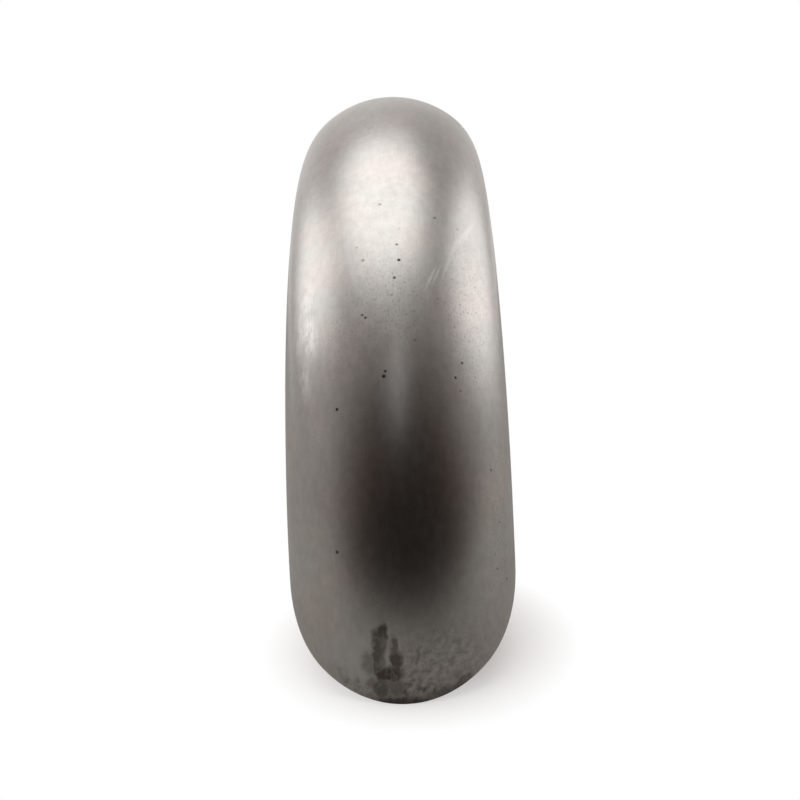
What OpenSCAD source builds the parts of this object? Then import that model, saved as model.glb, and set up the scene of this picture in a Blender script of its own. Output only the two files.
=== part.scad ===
// Rear fender for a motorcycle: one pressed steel sheet that follows the wheel.
// Its section is a shallow crown, two tighter shoulders and two flat sides.
// The wheel axle lies along X through the origin. The fender stands as an arch on z = 0,
// with its round tail at -Y and its square front end at +Y.

/* [Wheel arch] */
// Distance from the wheel axle to the outer skin along the crown
crown_r = 338; // [320:1:360]
// How far the sheet runs round the wheel, measured from the tail, in degrees
arch_angle = 180; // [150:1:180]

/* [Section] */
// Overall width across the flat sides
fender_w = 140; // [126:1:150]
// Radius of the crown across the width, on the outer skin
crown_arc_r = 81; // [78:0.5:110]
// Radius of the shoulders between the crown and the sides, on the outer skin
shoulder_r = 53.5; // [40:0.5:58]
// Depth of the section, from the crown to the edge of the sides
side_depth = 86; // [78:1:95]
// Thickness of the sheet
sheet_t = 2; // [1.2:0.1:3]

/* [Tail] */
// Slope of the straight cut that forms the tail, seen from the side, in degrees
tail_cut_angle = 43; // [35:1:44]
// Radius that blends the tail cut into the edge of the sides
tail_corner_r = 80; // [40:1:120]

/* [Hidden] */
$fn = 180;
half_w = fender_w / 2;
side_edge_r = crown_r - side_depth;
// Where the crown passes into the shoulder, as an angle at the crown's centre
shoulder_angle = asin((half_w - shoulder_r) / (crown_arc_r - shoulder_r));
// The shoulder's centre, seen from the crown's centre: [outwards, across]
shoulder_centre = [(crown_arc_r - shoulder_r) * cos(shoulder_angle), half_w - shoulder_r];
// Length of the flat side in section, from the end of the shoulder to its edge
side_run = crown_r - crown_arc_r + shoulder_centre.x - side_edge_r;
// The sheet is drawn a little past the tail, in degrees, and the cut a little past the sheet
tail_spare_angle = 2;
cut_spare = 8;
// The corner's arc crosses the side edge by this much instead of only touching it
corner_lap = 0.5;

module both_sides() {
    children();
    mirror([0, 1]) children();
}

// A full ring of sheet in section
module sheet_ring(outer_r) {
    difference() {
        circle(r = outer_r);
        circle(r = outer_r - sheet_t);
    }
}

// The part of the section that belongs to the crown
module crown_wedge() {
    reach = 2 * crown_arc_r;
    polygon([
        [0, 0],
        reach * [cos(shoulder_angle), -sin(shoulder_angle)],
        reach * [cos(shoulder_angle), sin(shoulder_angle)]
    ]);
}

// A quarter ring that runs out into the flat side, from the shoulder's centre
module shoulder_and_side() {
    intersection() {
        sheet_ring(shoulder_r);
        square(2 * shoulder_r);
    }
    translate([-side_run, shoulder_r - sheet_t])
        square([side_run, sheet_t]);
}

// The sheet in section: distance from the axle along X, across the fender along Y
module section() {
    translate([crown_r - crown_arc_r, 0]) {
        intersection() {
            sheet_ring(crown_arc_r);
            crown_wedge();
        }
        both_sides()
            difference() {
                translate(shoulder_centre) shoulder_and_side();
                crown_wedge();
            }
    }
}

// The section carried round the axle
module arch() {
    rotate([90, 0, 90])
        rotate_extrude(angle = arch_angle + tail_spare_angle, start = 180 - arch_angle)
            section();
}

// What the tail loses, in side view: X runs up along the cut from the tail's tip
module tail_cut_outline() {
    reach = side_depth + 2 * cut_spare;
    axle = crown_r * [cos(tail_cut_angle), -sin(tail_cut_angle)];
    corner_height = tail_corner_r - axle.y;
    corner_reach = side_edge_r + tail_corner_r - corner_lap;
    corner_run = axle.x - sqrt(corner_reach ^ 2 - corner_height ^ 2);
    corner_centre = [corner_run, tail_corner_r];
    inner_end = axle + (corner_centre - axle) * (side_edge_r - cut_spare) / corner_reach;
    difference() {
        polygon([
            [-reach, -reach],
            [-reach, 0],
            [corner_run, 0],
            corner_centre,
            inner_end,
            [inner_end.x, -reach]
        ]);
        translate(corner_centre) circle(r = tail_corner_r);
    }
}

module tail_cut() {
    rotate([90, 0, 90])
        linear_extrude(fender_w + 2 * cut_spare, center = true)
            translate([-crown_r, 0])
                rotate(tail_cut_angle)
                    tail_cut_outline();
}

module fender_shell() {
    color([0.62, 0.62, 0.61])
        difference() {
            arch();
            tail_cut();
        }
}

fender_shell();
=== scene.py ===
import math

import bmesh
import bpy
import numpy as np
from mathutils import Matrix, Vector


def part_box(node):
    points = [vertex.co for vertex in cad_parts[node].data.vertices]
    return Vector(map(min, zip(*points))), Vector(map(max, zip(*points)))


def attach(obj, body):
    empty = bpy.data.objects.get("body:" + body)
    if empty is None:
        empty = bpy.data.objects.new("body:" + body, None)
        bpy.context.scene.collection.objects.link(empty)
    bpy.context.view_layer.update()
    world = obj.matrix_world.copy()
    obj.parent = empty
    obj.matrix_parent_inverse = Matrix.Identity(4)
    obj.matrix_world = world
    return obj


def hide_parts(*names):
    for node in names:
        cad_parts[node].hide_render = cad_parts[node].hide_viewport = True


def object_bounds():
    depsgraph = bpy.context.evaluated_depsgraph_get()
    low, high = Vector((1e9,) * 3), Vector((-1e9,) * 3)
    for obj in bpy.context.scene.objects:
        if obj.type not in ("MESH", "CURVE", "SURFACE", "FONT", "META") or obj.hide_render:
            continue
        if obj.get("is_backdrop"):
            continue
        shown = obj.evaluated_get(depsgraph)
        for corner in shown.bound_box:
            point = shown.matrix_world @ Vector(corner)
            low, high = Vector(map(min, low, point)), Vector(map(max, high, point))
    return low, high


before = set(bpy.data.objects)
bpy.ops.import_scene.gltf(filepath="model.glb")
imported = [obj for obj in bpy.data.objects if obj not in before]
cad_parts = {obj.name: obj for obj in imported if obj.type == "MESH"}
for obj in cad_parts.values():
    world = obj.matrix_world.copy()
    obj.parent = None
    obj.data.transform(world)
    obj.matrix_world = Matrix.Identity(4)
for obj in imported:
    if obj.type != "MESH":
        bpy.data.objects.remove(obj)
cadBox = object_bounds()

mm = 0.001


def hexColour(code):
    # sRGB hex to the linear values that the shaders take
    parts = [int(code[i:i + 2], 16) / 255 for i in (1, 3, 5)]
    linear = [v / 12.92 if v <= 0.04045 else ((v + 0.055) / 1.055) ** 2.4 for v in parts]
    return (*linear, 1.0)


def addNode(tree, kind, inputs=None, **settings):
    # an input is a value, a socket, or a node whose first output is taken. A colour Mix has its share at
    # input 0, its two colours at 6 and 7, and its result at output 2
    node = tree.nodes.new("ShaderNode" + kind)
    for name, value in settings.items():
        setattr(node, name, value)
    for name, value in (inputs or {}).items():
        if isinstance(value, bpy.types.Node):
            value = value.outputs[0]
        if isinstance(value, bpy.types.NodeSocket):
            tree.links.new(value, node.inputs[name])
        else:
            node.inputs[name].default_value = value
    return node


# The camera stands behind the tail, a little above it: metres and degrees round the axle line
cameraSetup = {
    "distance": 0.9131,
    "elevation": 21.28,
    "turn": 1.11,
    "aim": (-0.0027, 0.0, 0.0844),
    "roll": -2.75,
    "focalLength": 45.7,
    "sensorWidth": 36.0,
}


def addCamera(setup):
    data = bpy.data.cameras.new("photoCamera")
    data.sensor_width = setup["sensorWidth"]
    data.lens = setup["focalLength"]
    camera = bpy.data.objects.new("photoCamera", data)
    bpy.context.collection.objects.link(camera)
    elevation, turn = math.radians(setup["elevation"]), math.radians(setup["turn"])
    flat = math.cos(elevation)
    place = Vector((math.sin(turn) * flat, -math.cos(turn) * flat, math.sin(elevation))) * setup["distance"]
    look = (Vector(setup["aim"]) - place).to_track_quat("-Z", "Y").to_matrix()
    turned = look @ Matrix.Rotation(math.radians(setup["roll"]), 3, "Z")
    camera.matrix_world = Matrix.Translation(place) @ turned.to_4x4()
    bpy.context.scene.camera = camera


# The room round the fender: tones from the dark side behind the camera (-1) to the pale backdrop (1)
roomSetup = {
    "turn": 7,   # degrees by which the dark side is off the fender's middle plane
    "tones": [
        (-1.0, "#120C0A"),   # dark room
        (-0.85, "#1D1613"),
        (-0.7, "#3B2E29"),
        (-0.5, "#706A66"),
        (-0.3, "#9D9996"),   # grey side walls
        (0.0, "#ABA8A5"),
        (0.5, "#A5A19E"),
        (0.8, "#BEBAB7"),
        (1.0, "#F0ECEA"),    # pale backdrop
    ],
    "backdropStart": 0.97,   # from here to 1 the steel mirrors the backdrop as plain white
    "plainWhite": "#FFFFFF",
}

# Softboxes as seen from the fender, in degrees. Azimuth runs from behind the camera (0) over the right side
# (90) to the backdrop (180). Level 1 is the white of paper, and blur is the share of the size that is soft
softboxes = {
    "overhead": {"azimuth": 203, "elevation": 75, "tilt": 15, "reach": (26, 28), "blur": 0.4, "level": 1.6},
    "left": {"azimuth": -114, "elevation": 30, "tilt": 40, "reach": (25, 14), "blur": 0.45, "level": 1.4},
    "right": {"azimuth": 117, "elevation": 25, "tilt": -37, "reach": (28, 17), "blur": 0.35, "level": 1.25},
    "front": {"azimuth": 4, "elevation": 51, "tilt": -19, "reach": (6, 12), "blur": 0.7, "level": 0.55},
}


def addSoftbox(tree, direction, colour, box):
    # a soft ellipse on the sky, on the side that the box is on
    azimuth, elevation, tilt = (math.radians(box[key]) for key in ("azimuth", "elevation", "tilt"))
    flat = math.cos(elevation)
    centre = Vector((flat * math.sin(azimuth), -flat * math.cos(azimuth), math.sin(elevation)))
    side = Vector((math.cos(azimuth), math.sin(azimuth), 0))
    above = centre.cross(side)
    above = above if above.z > 0 else -above
    width, height = (math.sin(math.radians(reach)) for reach in box["reach"])
    across = (side * math.cos(tilt) + above * math.sin(tilt)) / width
    upward = (above * math.cos(tilt) - side * math.sin(tilt)) / height
    offset = [addNode(tree, "VectorMath", {0: direction, 1: axis}, operation="DOT_PRODUCT").outputs["Value"]
              for axis in (across, upward, centre)]
    flatOffset = addNode(tree, "CombineXYZ", {0: offset[0], 1: offset[1]})
    distance = addNode(tree, "VectorMath", {0: flatOffset}, operation="LENGTH").outputs["Value"]
    limits = {"Value": distance, "From Min": 1 + box["blur"], "From Max": 1 - box["blur"]}
    shape = addNode(tree, "MapRange", limits, interpolation_type="SMOOTHSTEP")
    facing = addNode(tree, "Math", {0: offset[2], 1: 0.0}, operation="GREATER_THAN")
    share = addNode(tree, "Math", {0: shape, 1: facing}, operation="MULTIPLY")
    inputs = {0: share, 6: colour, 7: (box["level"],) * 3 + (1.0,)}
    return addNode(tree, "Mix", inputs, data_type="RGBA", blend_type="ADD").outputs[2]


def buildRoom(setup, boxes):
    world = bpy.data.worlds.new("studioRoom")
    bpy.context.scene.world = world
    world.use_nodes = True
    tree = world.node_tree
    tree.nodes.clear()
    direction = addNode(tree, "TexCoord").outputs["Generated"]
    turn = math.radians(setup["turn"])
    inputs = {0: direction, 1: (-math.sin(turn), math.cos(turn), 0)}
    depth = addNode(tree, "VectorMath", inputs, operation="DOT_PRODUCT").outputs["Value"]
    ramp = addNode(tree, "ValToRGB", {0: addNode(tree, "MapRange", {"Value": depth, "From Min": -1.0})})
    stops = ramp.color_ramp.elements
    for i, (place, code) in enumerate(setup["tones"]):
        stop = stops[i] if i < len(stops) else stops.new(1.0)
        stop.position = (place + 1) / 2
        stop.color = hexColour(code)
    colour = ramp.outputs["Color"]
    for box in boxes.values():
        colour = addSoftbox(tree, direction, colour, box)

    # the camera sees plain white, and so does the steel where it faces the backdrop
    rays = addNode(tree, "LightPath").outputs
    inputs = {0: rays["Is Glossy Ray"], 1: rays["Is Transmission Ray"]}
    mirrored = addNode(tree, "Math", inputs, operation="MAXIMUM")
    backdrop = addNode(tree, "MapRange", {"Value": depth, "From Min": setup["backdropStart"]})
    seen = addNode(tree, "Math", {0: mirrored, 1: backdrop}, operation="MULTIPLY")
    share = addNode(tree, "Math", {0: rays["Is Camera Ray"], 1: seen}, operation="MAXIMUM")
    inputs = {0: share, 6: colour, 7: hexColour(setup["plainWhite"])}
    colour = addNode(tree, "Mix", inputs, data_type="RGBA").outputs[2]
    background = addNode(tree, "Background", {"Color": colour})
    addNode(tree, "OutputWorld", {"Surface": background})


# The paper floor, in metres
floorSetup = {
    "size": 12.0,
    "frontEdge": -0.9,
    "paper": "#BFBDBA",   # pale grey paper, which the camera sees bleached to white
    # painted shade: the paper's colour darkens to this below the camera, so that the steel mirrors a dark
    # floor in front
    "paintedShadePaper": "#3A3835",
    "shadowPaper": "#FFFAF7",   # warm white, seen only where the shadow lies
    "paintedShadePlace": (0.1, -0.95, 0),   # below the camera the paper's colour is darkened as painted shade, standing in for the dark of the room
    "paintedShadeReach": (0.12, 0.77),
    "backReach": (1.2, 2.5),   # far behind the fender the steel mirrors the bleached paper too
    "shadowPlace": (0.009, 0.262, 0),   # shadow patch at each end of the fender, the same on both
    "shadowReach": (0.101, 0.105),
    "shadowCore": 0.36,   # share of the reach that is in full shadow
}


def whitePaper(setup):
    # matt photographic paper: no gloss, keeps a soft shadow, and bleaches to plain white away from the fender
    material = bpy.data.materials.new("whitePaper")
    material.use_nodes = True
    tree = material.node_tree
    tree.nodes.clear()
    place = addNode(tree, "NewGeometry").outputs["Position"]
    parts = addNode(tree, "SeparateXYZ", {0: place}).outputs
    rays = addNode(tree, "LightPath").outputs

    # the paper's colour, darkened below the camera as painted shade that only the steel and the bounce light
    # see, and the white under the shadow that the camera sees in its place
    inputs = {0: place, 1: setup["paintedShadePlace"]}
    away = addNode(tree, "VectorMath", inputs, operation="DISTANCE").outputs["Value"]
    near, far = setup["paintedShadeReach"]
    limits = {"Value": away, "From Min": near, "From Max": far}
    outsidePaintedShade = addNode(tree, "MapRange", limits, interpolation_type="SMOOTHSTEP")
    inputs = {0: outsidePaintedShade, 6: hexColour(setup["paintedShadePaper"]), 7: hexColour(setup["paper"])}
    colour = addNode(tree, "Mix", inputs, data_type="RGBA").outputs[2]
    inputs = {0: rays["Is Camera Ray"], 6: colour, 7: hexColour(setup["shadowPaper"])}
    colour = addNode(tree, "Mix", inputs, data_type="RGBA").outputs[2]
    paper = addNode(tree, "BsdfDiffuse", {"Color": colour})

    # how far the paper is bleached for the camera: not at all in the core of either shadow patch
    eitherEnd = addNode(tree, "Math", {0: parts["Y"]}, operation="ABSOLUTE")
    spot = addNode(tree, "CombineXYZ", {0: parts["X"], 1: eitherEnd})
    moved = addNode(tree, "VectorMath", {0: spot, 1: setup["shadowPlace"]}, operation="SUBTRACT")
    width, length = setup["shadowReach"]
    sized = addNode(tree, "VectorMath", {0: moved, 1: (1 / width, 1 / length, 0)}, operation="MULTIPLY")
    distance = addNode(tree, "VectorMath", {0: sized}, operation="LENGTH").outputs["Value"]
    bleached = addNode(tree, "MapRange", {"Value": distance, "From Min": setup["shadowCore"]})
    seen = addNode(tree, "Math", {0: rays["Is Camera Ray"], 1: bleached}, operation="MULTIPLY")

    # and for the steel: only far behind the fender
    near, far = setup["backReach"]
    behind = addNode(tree, "MapRange", {"Value": parts["Y"], "From Min": near, "From Max": far})
    inputs = {0: rays["Is Glossy Ray"], 1: rays["Is Transmission Ray"]}
    mirrored = addNode(tree, "Math", inputs, operation="MAXIMUM")
    mirrored = addNode(tree, "Math", {0: mirrored, 1: behind}, operation="MULTIPLY")
    share = addNode(tree, "Math", {0: seen, 1: mirrored}, operation="MAXIMUM")
    white = addNode(tree, "Emission", {"Strength": 1.0})
    surface = addNode(tree, "MixShader", {0: share, 1: paper, 2: white})
    addNode(tree, "OutputMaterial", {"Surface": surface})
    return material


def buildFloor(setup):
    half, front = setup["size"] / 2, setup["frontEdge"]
    mesh = bpy.data.meshes.new("studioFloor")
    corners = [(-half, front, 0), (half, front, 0), (half, half, 0), (-half, half, 0)]
    mesh.from_pydata(corners, [], [(0, 1, 2, 3)])
    floor = bpy.data.objects.new("studioFloor", mesh)
    bpy.context.collection.objects.link(floor)
    mesh.materials.append(whitePaper(setup))
    floor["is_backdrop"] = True


# The pressed sheet in mm and degrees. Its width and arch come from the frame
fenderShape = {
    "crownArc": 81.0,
    "shoulderArc": 53.5,
    "sideDepth": 86.0,
    "sheet": 2.0,
    "tailAngle": 43.0,
    "tailCorner": 80.0,
    "cornerLap": 0.5,   # how far the corner's arc laps past the side edge
    "meshStep": 3.6,
    "holdRow": 0.9,   # a narrow row of faces that keeps the skin flat up to each edge
    "edgeRound": 0.45,
    "edgeSteps": 3,
    "sharpAngle": 60.0,   # edges sharper than this are rounded
    "waveDepth": 0.2,   # how far the hand-finished skin wanders inwards
    "waves": [   # wavelength across and along, share, phase
        (190.0, 310.0, 0.4, 0.6),
        (-120.0, 170.0, 0.3, 2.1),
        (75.0, -140.0, 0.2, 4.0),
        (260.0, 90.0, 0.1, 5.2),
    ],
}


class SheetForm:
    # The fender's skin as a formula: run is the way across it from the middle, turn is the way round the axle
    def __init__(self, shape, box):
        low, high = box
        self.shape = shape
        self.crownRadius = high[2]
        self.halfWidth = (high[0] - low[0]) / 2
        self.crownArc = shape["crownArc"] * mm
        self.shoulderArc = shape["shoulderArc"] * mm
        rise = self.crownArc - self.shoulderArc
        self.shoulderTurn = math.asin((self.halfWidth - self.shoulderArc) / rise)
        self.shoulderRadius = self.crownRadius - self.crownArc + rise * math.cos(self.shoulderTurn)
        self.edgeRadius = self.crownRadius - shape["sideDepth"] * mm
        self.crownRun = self.crownArc * self.shoulderTurn
        self.sideStart = self.crownRun + self.shoulderArc * (math.pi / 2 - self.shoulderTurn)
        self.fullRun = self.sideStart + self.shoulderRadius - self.edgeRadius
        self.placeCorner()

    def placeCorner(self):
        # seen from the side: the arc that leads from the straight tail cut into the side edge
        slope, corner = math.radians(self.shape["tailAngle"]), self.shape["tailCorner"] * mm
        along = np.array([math.cos(slope), math.sin(slope)])
        above = np.array([-math.sin(slope), math.cos(slope)])
        self.slope, self.corner = slope, corner
        self.cornerReach = self.edgeRadius + corner - self.shape["cornerLap"] * mm
        height = corner + self.crownRadius * math.sin(slope)
        cutRun = self.crownRadius * math.cos(slope) - math.sqrt(self.cornerReach ** 2 - height ** 2)
        touch = np.array([-self.crownRadius, 0.0]) + cutRun * along
        centre = touch + corner * above
        self.touchRadius = float(np.linalg.norm(touch))
        self.cornerTurn = math.atan2(centre[1], -centre[0])
        middle = -above - centre / np.linalg.norm(centre)
        halfway = centre + corner * middle / np.linalg.norm(middle)
        self.halfwayTurn = math.atan2(halfway[1], -halfway[0])
        self.tailRun = self.fullRun - (float(np.linalg.norm(halfway)) - self.edgeRadius)

    def section(self, run):
        # across, radius round the axle, and the skin's direction: crown arc, shoulder arc, flat side
        size = np.abs(run)
        onCrown = size < self.crownRun
        onShoulder = self.shoulderTurn + (size - self.crownRun) / self.shoulderArc
        lean = np.where(onCrown, size / self.crownArc, onShoulder)
        lean = np.minimum(lean, math.pi / 2)
        across = np.where(onCrown, self.crownArc * np.sin(lean),
                          self.halfWidth - self.shoulderArc * (1 - np.sin(lean)))
        radius = np.where(onCrown, self.crownRadius - self.crownArc * (1 - np.cos(lean)),
                          self.shoulderRadius + self.shoulderArc * np.cos(lean))
        radius = radius - np.maximum(size - self.sideStart, 0)
        side = np.where(run < 0, -1.0, 1.0)
        return side * across, radius, side * np.sin(lean), np.cos(lean)

    def tailTurn(self, radius):
        # where the tail starts at this radius
        straight = np.arcsin(np.minimum(self.crownRadius * math.sin(self.slope) / radius, 1)) - self.slope
        reach = (radius ** 2 + self.cornerReach ** 2 - self.corner ** 2) / (2 * radius * self.cornerReach)
        rounded = self.cornerTurn - np.arccos(np.clip(reach, -1, 1))
        return np.where(radius > self.touchRadius, straight, rounded)

    def runLimit(self, turn):
        # how far across the sheet reaches at this turn
        gap = self.cornerTurn - np.clip(turn, self.halfwayTurn, self.cornerTurn)
        offset = self.cornerReach * np.sin(gap)
        radius = self.cornerReach * np.cos(gap) - np.sqrt(np.maximum(self.corner ** 2 - offset ** 2, 0))
        radius = np.where(turn < self.cornerTurn, np.maximum(radius, self.edgeRadius), self.edgeRadius)
        return self.fullRun - (radius - self.edgeRadius)

    def wave(self, run, along):
        total = 0
        for across, length, share, phase in self.shape["waves"]:
            cycles = run / (across * mm) + along / (length * mm)
            total = total + share * np.sin(2 * math.pi * cycles + phase)
        return -self.shape["waveDepth"] * mm * (0.5 + 0.5 * total)


def edgedSteps(length, shape):
    # even steps from 0 to 1, with a narrow one at each end
    hold = shape["holdRow"] * mm / length
    count = math.ceil(length / (shape["meshStep"] * mm))
    return np.concatenate([[0.0], np.linspace(hold, 1 - hold, count), [1.0]])


def roundEdges(mesh, shape):
    work = bmesh.new()
    work.from_mesh(mesh)
    sharp = [edge for edge in work.edges if edge.calc_face_angle(0) > math.radians(shape["sharpAngle"])]
    bmesh.ops.bevel(work, geom=sharp, offset=shape["edgeRound"] * mm, segments=shape["edgeSteps"],
                    profile=0.5, affect="EDGES", clamp_overlap=True)
    bmesh.ops.recalc_face_normals(work, faces=work.faces)
    work.to_mesh(mesh)
    work.free()
    mesh.shade_smooth()


def buildFender(shape, box):
    form = SheetForm(shape, box)
    columns = edgedSteps(2 * form.fullRun, shape) * 2 - 1
    rows = edgedSteps(math.pi * form.crownRadius, shape)
    tail = form.tailTurn(form.section(columns * form.tailRun)[1])
    turn = tail[None, :] + (math.pi - tail[None, :]) * rows[:, None]
    run = columns[None, :] * form.runLimit(turn)
    across, radius, lean, rise = form.section(run)
    normal = np.stack([lean, -rise * np.cos(turn), rise * np.sin(turn)], -1)
    skin = np.stack([across, -radius * np.cos(turn), radius * np.sin(turn)], -1)
    along = turn * form.crownRadius
    skin = skin + normal * form.wave(run, along)[..., None]
    lining = skin - normal * shape["sheet"] * mm

    # faces of the skin, the lining and the cut edge that joins them
    height, width = run.shape
    count = height * width
    index = np.arange(count).reshape(height, width)
    outer = np.stack([index[:-1, :-1], index[:-1, 1:], index[1:, 1:], index[1:, :-1]], -1).reshape(-1, 4)
    inner = outer[:, ::-1] + count
    rim = np.concatenate([index[0, :-1], index[:-1, -1], index[-1, :0:-1], index[:0:-1, 0]])
    after = np.roll(rim, -1)
    edge = np.stack([rim, rim + count, after + count, after], -1)
    points = np.concatenate([skin.reshape(-1, 3), lining.reshape(-1, 3)])
    mesh = bpy.data.meshes.new("fenderSheet")
    mesh.from_pydata(points.tolist(), [], np.concatenate([outer, inner, edge]).tolist())

    # the sheet laid flat, in metres: the lining lies apart from the skin, and the cut edge beside it
    flat = np.stack([run, along], -1).reshape(-1, 2)
    liningPlace = flat[inner - count] + [0.0, 3.0]
    edgePlace = flat[edge % count] + (edge >= count)[..., None] * shape["sheet"] * mm
    corners = np.concatenate([flat[outer], liningPlace, edgePlace])
    mesh.uv_layers.new(name="sheetPlace").data.foreach_set("uv", corners.astype(np.float32).ravel())
    roundEdges(mesh, shape)
    fender = bpy.data.objects.new("fenderSheet", mesh)
    bpy.context.collection.objects.link(fender)
    return fender


# Bare mild steel, cold rolled, pressed and wiped with oil: warm mid grey, a satin blur, and a faint grain
# along the sheet
steelFinish = {
    "warm": "#CDC5C2",   # the lighter tone, drifting between a warm and a cool oxide tint
    "cool": "#C7C7C3",
    "dark": "#AEAAA7",
    "rub": "#F2EFEC",
    "stain": "#5C5651",
    "pit": "#2E2826",
    "patterns": {   # size across and along in mm, detail, and an offset that sets each apart
        "cloud": (25.2, 42.0, 4.0, 3.7),
        "drift": (42.0, 42.0, 2.0, 6.4),
        "blotch": (4.9, 7.0, 3.0, 5.9),
        "smear": (4.0, 4.0, 4.0, 4.4),
        "dust": (1.4, 1.4, 2.0, 8.1),
        "grain": (0.9, 20.0, 3.0, 1.3),   # real grit lines are about 0.1 mm and would not show at this size
        "speck": (1.1, 2.2, 0.0, 2.6),   # rust specks, drawn coarser than the real 0.3 mm so that they show
    },
    "toneStart": -0.65,   # dark at 0, light at 1, with each pattern's share added
    "toneShares": {"cloud": 0.7, "blotch": 0.8, "grain": 0.4, "dust": 0.5},
    "tintRange": (0.3, 0.7),   # each range is the part of a pattern over which something fades in
    "edgeRagged": 3.0,   # mm by which noise moves a mark's outline
    "streakRange": (0.75, 1.25),
    "patchDust": 0.3,
    "patchRange": (0.45, 0.65),
    "patchLeast": 0.65,   # share of the stain that stays between its patches
    "mottleRange": (0.35, 0.7),
    "speckRange": (0.64, 0.78),
    "speckStrength": 0.28,
    "roughness": 0.27,   # of the smoothest spots, with each pattern's share added
    "roughnessShares": {"grain": 0.05, "blotch": 0.03, "scuff": 0.12},
    "bumpDepth": 0.02,   # mm
    "bumpStrength": 0.25,
    "bumpDust": 0.4,
    "pitDepth": 3.0,   # in grain depths
}

# Marks on the sheet, in mm: across from the middle, along the crown from the tail, half width, half length,
# lean in degrees, strength
sheetMarks = {
    # rust pits are round: across, along, radius, strength
    "pits": [
        (-5, 316, 1.0, 0.5), (30, 307, 0.9, 0.6), (7, 294, 0.7, 0.3), (46, 303, 0.8, 0.4),
        (5, 281, 0.8, 0.8), (-20, 282, 0.7, 0.4), (-16, 271, 1.0, 0.5), (6, 269, 1.0, 1.0),
        (3, 256, 0.9, 0.9), (1, 244, 0.8, 0.4), (29, 243, 0.7, 0.4), (44, 242, 0.7, 0.4),
        (-17, 232, 0.8, 0.8), (-15, 230, 0.8, 0.9), (39, 225, 0.7, 0.4), (14, 214, 0.7, 0.4),
        (43, 202, 0.8, 0.9), (-4, 195, 0.8, 0.9), (52, 194, 0.7, 0.3), (-5, 192, 1.0, 1.0),
        (38, 192, 0.8, 0.9), (41, 184, 0.7, 0.5), (-34, 175, 0.9, 1.0), (61, 136, 0.8, 0.6),
        (67, 103, 0.7, 0.5), (-37, 91, 0.9, 0.9), (63, 74, 0.8, 0.6), (73, 65, 0.9, 0.7),
    ],
    # thin bright scratches
    "scratches": [
        (25, 257, 0.8, 9, 23, 0.4),
        (29, 260, 0.7, 7, 21, 0.3),
        (36, 268, 1.0, 11, 20, 0.25),
        (41, 282, 1.4, 13, 20, 0.2),
        (51, 300, 1.8, 18, 29, 0.2),
    ],
    # rubbed bright patches
    "rubs": [
        (-56, 255, 6, 12, 10, 0.45),
        (-54, 228, 6, 13, -8, 0.9),
        (-61, 238, 4, 18, 5, 0.4),
        (-57, 196, 5, 12, -6, 0.35),
    ],
    # places where rust specks crowd
    "speckled": [
        (0, 240, 24, 34, 0, 0.8),
        (50, 235, 16, 48, 0, 1.0),
        (-30, 222, 16, 30, 0, 0.5),
        (30, 30, 30, 24, 0, 0.5),
        (66, 90, 10, 60, 0, 0.8),
    ],
    # the oily stain at the tail
    "stains": [
        (-11, 45, 3, 6, 6, 0.9),
        (-14, 37, 4, 9, 0, 0.85),
        (-15, 27, 3.5, 10, 0, 0.85),
        (-9, 19, 9, 6, 0, 1.0),
        (-5, 36, 2.5, 6, 0, 0.7),
        (-4, 26, 4, 8, 0, 0.9),
        (-20, 25, 5, 8, 0, 0.55),
        (-14, 10, 5, 7, 0, 0.8),
        (-5, 11, 6, 6, 0, 0.65),
        (-19, 13, 4, 4, 0, 0.55),
        (-2, 0, 22, 5, 0, 0.9),
        (8, 29, 1.2, 6, 0, 0.5),
        (5, 19, 1.2, 5, 50, 0.5),
        (8, 13, 1.5, 6, 0, 0.5),
        (22, 4, 10, 4, -20, 0.7),
        (34, 9, 8, 3, -32, 0.75),
        (31, 14, 3, 3, 0, 0.45),
    ],
    # a thin mottled film of oil round the stain
    "films": [
        (2, 8, 26, 10, 0, 0.8),
        (22, 24, 26, 20, 0, 0.45),
        (-30, 11, 14, 5, 30, 0.5),
    ],
    # share of a mark's size over which it fades out
    "fades": {"pits": 0.6, "scratches": 0.6, "rubs": 0.6, "speckled": 0.9, "stains": 0.45, "films": 0.6},
}


def sheetNoise(tree, place, across, along, detail, offset):
    # noise that is 0 to 1 and repeats about every so many mm across and along the sheet
    size = (1 / (across * mm), 1 / (along * mm), 1)
    scaled = addNode(tree, "Mapping", {"Vector": place, "Scale": size, "Location": (offset, offset, 0)})
    inputs = {"Vector": scaled, "Scale": 1.0, "Detail": detail, "Roughness": 0.55}
    return addNode(tree, "TexNoise", inputs, noise_dimensions="2D")


def markMask(tree, place, marks, fade):
    # soft ellipses on the sheet, the strongest one winning
    mask = 0.0
    for across, along, halfWidth, halfLength, lean, strength in marks:
        moved = addNode(tree, "VectorMath", {0: place, 1: (across * mm, along * mm, 0)}, operation="SUBTRACT")
        inputs = {"Vector": moved, "Angle": math.radians(lean)}
        turned = addNode(tree, "VectorRotate", inputs, rotation_type="Z_AXIS")
        size = (1 / (halfWidth * mm), 1 / (halfLength * mm), 0)
        sized = addNode(tree, "VectorMath", {0: turned, 1: size}, operation="MULTIPLY")
        distance = addNode(tree, "VectorMath", {0: sized}, operation="LENGTH").outputs["Value"]
        limits = {"Value": distance, "From Min": 1 + fade, "From Max": 1 - fade, "To Max": strength}
        spot = addNode(tree, "MapRange", limits, interpolation_type="SMOOTHSTEP")
        mask = addNode(tree, "Math", {0: spot, 1: mask}, operation="MAXIMUM")
    return mask


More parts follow.
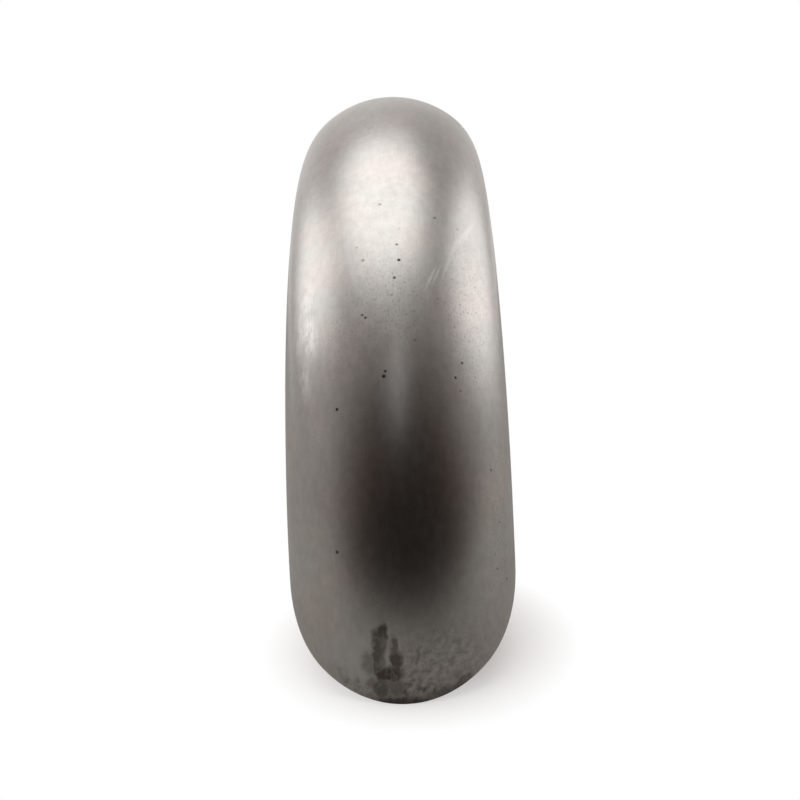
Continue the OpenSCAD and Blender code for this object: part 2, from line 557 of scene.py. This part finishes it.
def bareSteel(finish, marks):
    material = bpy.data.materials.new("bareSteel")
    material.use_nodes = True
    tree = material.node_tree
    tree.nodes.clear()
    place = addNode(tree, "UVMap", uv_map="sheetPlace").outputs["UV"]
    patterns = {name: sheetNoise(tree, place, *sizes) for name, sizes in finish["patterns"].items()}
    blotch, dust, grain = patterns["blotch"], patterns["dust"], patterns["grain"]

    # tone: clouds and blotches of thin oxide, crossed by the faint lengthwise grain
    tone = finish["toneStart"]
    for name, share in finish["toneShares"].items():
        tone = addNode(tree, "Math", {0: patterns[name], 1: share, 2: tone}, operation="MULTIPLY_ADD")
    low, high = finish["tintRange"]
    tint = addNode(tree, "MapRange", {"Value": patterns["drift"], "From Min": low, "From Max": high})
    inputs = {0: tint, 6: hexColour(finish["cool"]), 7: hexColour(finish["warm"])}
    light = addNode(tree, "Mix", inputs, data_type="RGBA").outputs[2]
    inputs = {0: tone, 6: hexColour(finish["dark"]), 7: light}
    colour = addNode(tree, "Mix", inputs, data_type="RGBA").outputs[2]

    # noise, centred on 0, makes the outlines of the larger marks ragged
    inputs = {0: blotch.outputs["Color"], 1: (0.5, 0.5, 0.5)}
    ragged = addNode(tree, "VectorMath", inputs, operation="SUBTRACT")
    inputs = {0: ragged, "Scale": finish["edgeRagged"] * 2 * mm}
    ragged = addNode(tree, "VectorMath", inputs, operation="SCALE")
    wandering = addNode(tree, "VectorMath", {0: place, 1: ragged}, operation="ADD")
    fades = marks["fades"]

    # scuffs: scratches, and rubs that follow the grain
    scratched = markMask(tree, place, marks["scratches"], fades["scratches"])
    rubbed = markMask(tree, wandering, marks["rubs"], fades["rubs"])
    streaked = addNode(tree, "Math", {0: grain, 1: blotch}, operation="ADD")
    low, high = finish["streakRange"]
    streaked = addNode(tree, "MapRange", {"Value": streaked, "From Min": low, "From Max": high})
    rubbed = addNode(tree, "Math", {0: rubbed, 1: streaked}, operation="MULTIPLY")
    scuffed = addNode(tree, "Math", {0: scratched, 1: rubbed}, operation="MAXIMUM")

    # the oily stain and the thin film round it
    stained = markMask(tree, wandering, marks["stains"], fades["stains"])
    patchy = addNode(tree, "Math", {0: dust, 1: finish["patchDust"], 2: blotch}, operation="MULTIPLY_ADD")
    low, high = finish["patchRange"]
    limits = {"Value": patchy, "From Min": low, "From Max": high, "To Min": finish["patchLeast"]}
    patchy = addNode(tree, "MapRange", limits)
    stained = addNode(tree, "Math", {0: stained, 1: patchy}, operation="MULTIPLY")
    filmed = markMask(tree, wandering, marks["films"], fades["films"])
    low, high = finish["mottleRange"]
    mottled = addNode(tree, "MapRange", {"Value": patterns["smear"], "From Min": low, "From Max": high})
    filmed = addNode(tree, "Math", {0: filmed, 1: mottled}, operation="MULTIPLY")
    stained = addNode(tree, "Math", {0: stained, 1: filmed}, operation="MAXIMUM")

    # rust: single pits, and fine specks where they crowd
    pits = [(across, along, radius, radius, 0, strength) for across, along, radius, strength in marks["pits"]]
    pitted = markMask(tree, place, pits, fades["pits"])
    crowded = markMask(tree, place, marks["speckled"], fades["speckled"])
    low, high = finish["speckRange"]
    limits = {"Value": patterns["speck"], "From Min": low, "From Max": high}
    specked = addNode(tree, "MapRange", {**limits, "To Max": finish["speckStrength"]})
    specked = addNode(tree, "Math", {0: specked, 1: crowded}, operation="MULTIPLY")
    pitted = addNode(tree, "Math", {0: pitted, 1: specked}, operation="MAXIMUM")

    for mask, code in ((scuffed, "rub"), (stained, "stain"), (pitted, "pit")):
        inputs = {0: mask, 6: colour, 7: hexColour(finish[code])}
        colour = addNode(tree, "Mix", inputs, data_type="RGBA").outputs[2]

    # gloss: grain, blotches and scuffs each scatter a little more
    gloss = finish["roughness"]
    scatter = {"grain": grain, "blotch": blotch, "scuff": scuffed}
    for name, share in finish["roughnessShares"].items():
        gloss = addNode(tree, "Math", {0: scatter[name], 1: share, 2: gloss}, operation="MULTIPLY_ADD")
    height = addNode(tree, "Math", {0: dust, 1: finish["bumpDust"], 2: grain}, operation="MULTIPLY_ADD")
    height = addNode(tree, "Math", {0: pitted, 1: -finish["pitDepth"], 2: height}, operation="MULTIPLY_ADD")
    inputs = {"Height": height, "Strength": finish["bumpStrength"], "Distance": finish["bumpDepth"] * mm}
    surface = addNode(tree, "BsdfPrincipled", {
        "Base Color": colour,
        "Metallic": 1.0,
        "Roughness": gloss,
        "Normal": addNode(tree, "Bump", inputs),
    })
    addNode(tree, "OutputMaterial", {"Surface": surface})
    return material


scene = bpy.context.scene
scene.view_settings.view_transform = "Standard"
addCamera(cameraSetup)
buildRoom(roomSetup, softboxes)
buildFloor(floorSetup)
print("studio ready")

fender = buildFender(fenderShape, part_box("fender_shell"))
print("fender ready:", len(fender.data.polygons), "faces")
fender.data.materials.append(bareSteel(steelFinish, sheetMarks))
print("bare steel ready:", sum(len(spots) for name, spots in sheetMarks.items() if name != "fades"), "marks")
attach(fender, "root")
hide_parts("fender_shell")

sizes = {"cad": cadBox, "visual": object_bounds()}
sizes = {name: [[float(v) for v in corner] for corner in box] for name, box in sizes.items()}
